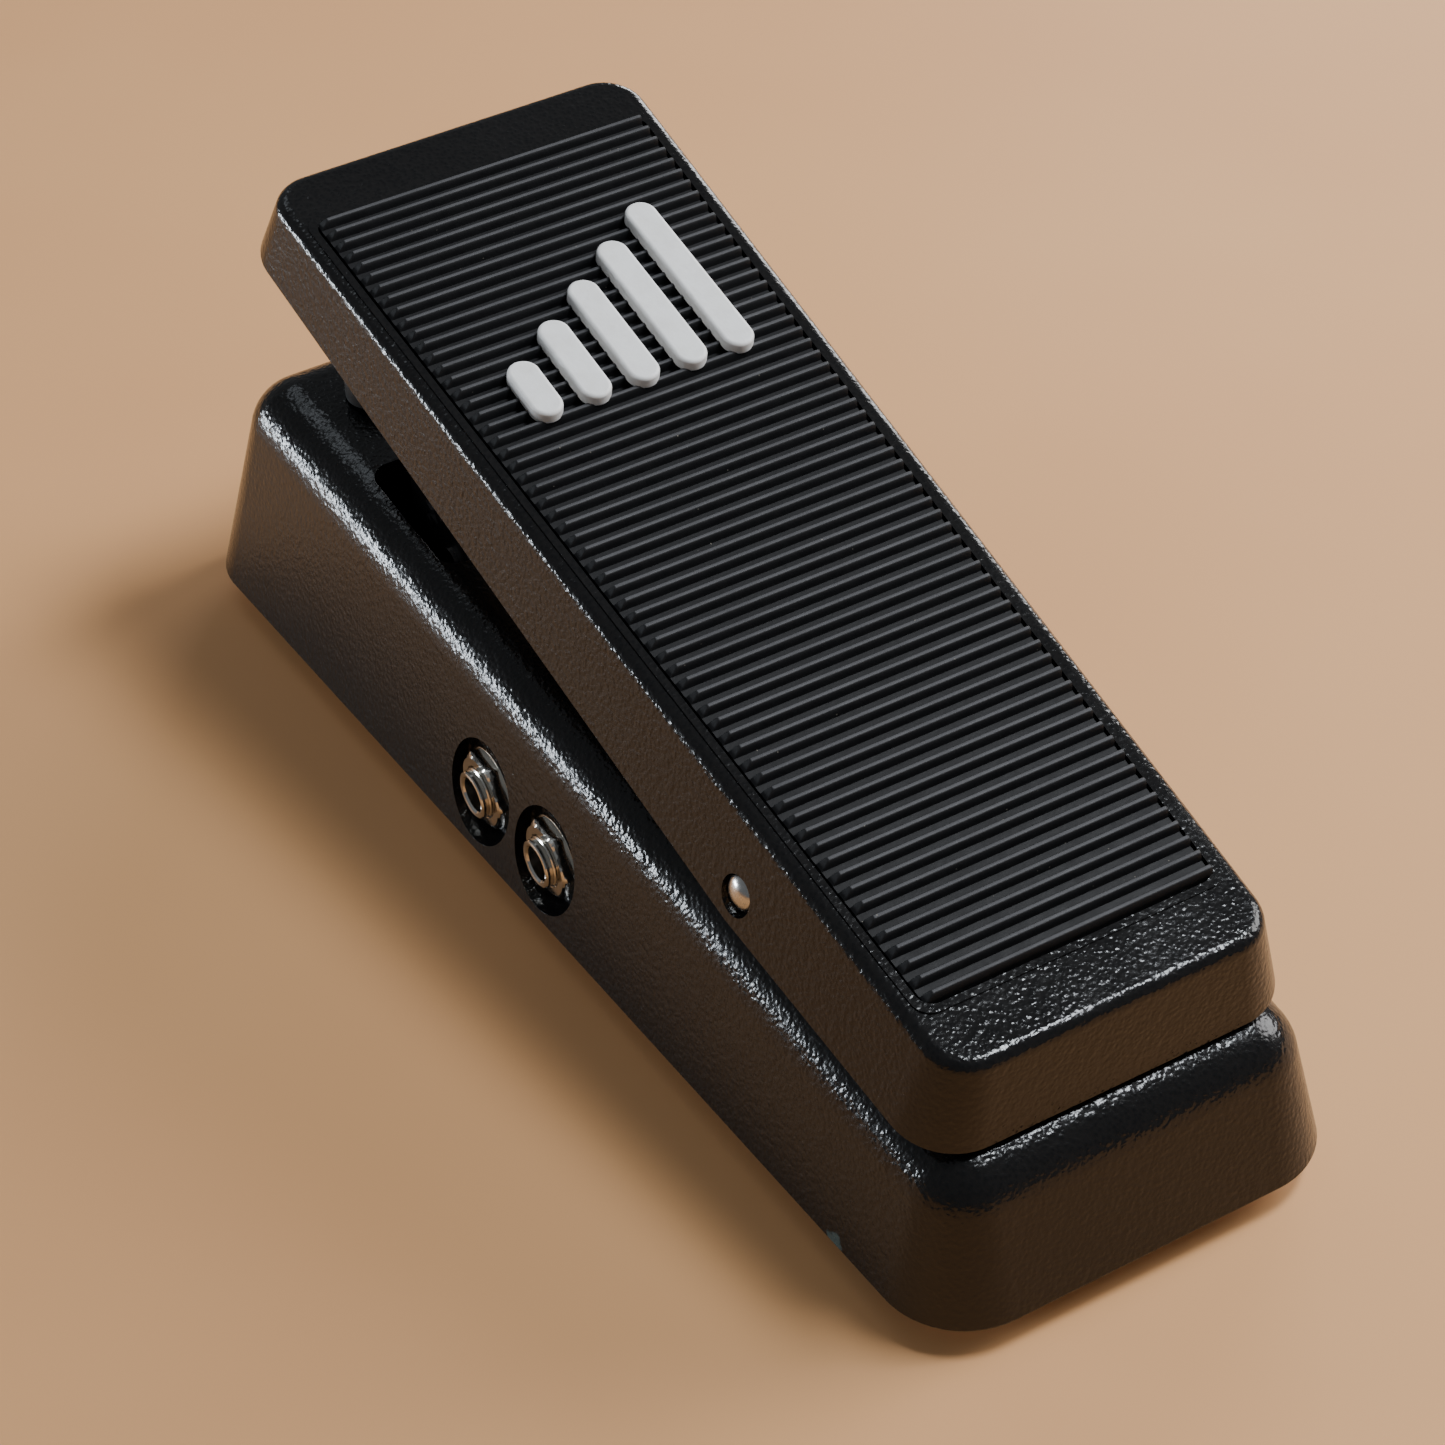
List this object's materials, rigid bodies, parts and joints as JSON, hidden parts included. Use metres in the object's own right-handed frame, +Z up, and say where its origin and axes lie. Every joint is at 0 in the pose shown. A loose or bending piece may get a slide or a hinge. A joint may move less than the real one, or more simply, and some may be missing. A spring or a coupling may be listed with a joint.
{
  "type": "volume pedal",
  "caption": "Rocker foot pedal for instrument volume: wedge cast base, hinged treadle with ribbed rubber mat, rack and pinion potentiometer and quarter-inch jacks on the left wall.",
  "frame": {"origin": "on the floor under the middle of the base", "axes": "+X to the player's right, +Y to the toe end, +Z up"},
  "size_m": [0.1006, 0.252, 0.097],
  "materials": {
    "black_paint": "textured gloss",
    "plate_steel": "plain sheet",
    "mat_rubber": "matt ribbed",
    "emblem_white": "satin",
    "pin_steel": "ground",
    "screw_steel": "plated",
    "nylon": "natural nylon",
    "can_steel": "zinc plated",
    "brass": "plain",
    "nickel": "nickel plated",
    "pinion_black": "moulded",
    "foot_rubber": "matt",
    "phenolic": "laminate"
  },
  "bodies": {
    "base": {"base_casting": "black_paint", "pivot_block": "black_paint", "pivot_block_screws": "screw_steel", "bottom_plate": "plate_steel", "foot_heel_left": "foot_rubber", "foot_heel_right": "foot_rubber", "foot_toe_left": "foot_rubber", "foot_toe_right": "foot_rubber", "plate_screws": "screw_steel", "bush_left": "nylon", "bush_right": "nylon", "friction_shoe": "nylon", "tension_screw": "screw_steel", "toe_bumper_left": "foot_rubber", "toe_bumper_right": "foot_rubber", "heel_bumper_left": "foot_rubber", "heel_bumper_right": "foot_rubber", "pot_bracket": "plate_steel", "bracket_screws": "screw_steel", "pot_can": "can_steel", "pot_bushing": "brass", "pot_washer": "nickel", "pot_nut": "nickel", "pot_lugs": "brass", "jack_bushing_toe": "nickel", "jack_bushing_heel": "nickel", "jack_frame_toe": "plate_steel", "jack_frame_heel": "plate_steel", "jack_stack_toe": "phenolic", "jack_stack_heel": "phenolic", "jack_spring_toe": "brass", "jack_spring_heel": "brass", "jack_washer_toe": "nickel", "jack_washer_heel": "nickel", "jack_nut_toe": "nickel", "jack_nut_heel": "nickel"},
    "treadle": {"treadle_casting": "black_paint", "tread_mat": "mat_rubber", "emblem_bars": "emblem_white", "pivot_pin": "pin_steel", "pin_set_screws": "screw_steel", "rack_pin": "pin_steel", "rack_clips": "pin_steel"},
    "rack_arm": {"rack": "pinion_black"},
    "pot_rotor": {"pot_shaft": "pin_steel", "pinion": "pinion_black", "gear_screw": "screw_steel"}
  },
  "joints": [
    {"name": "treadle_pivot", "type": "hinge", "parent": "base", "child": "treadle", "pos_m": [0, -0.06055, 0.04922], "axis": [1, 0, 0], "range_deg": [-11, 0]},
    {"name": "rack_swing", "type": "hinge", "parent": "treadle", "child": "rack_arm", "pos_m": [-0.024, 0.07122, 0.06191], "axis": [1, 0, 0], "range_deg": [0, 11]},
    {"name": "pot_spin", "type": "hinge", "parent": "base", "child": "pot_rotor", "pos_m": [-0.024, 0.058, 0.035], "axis": [1, 0, 0], "range_deg": [-162.1, 0]}
  ],
  "couplings": [
    {"joint": "rack_swing", "follows": "treadle_pivot", "ratio": -1},
    {"joint": "pot_spin", "follows": "treadle_pivot", "ratio": 14.686}
  ]
}
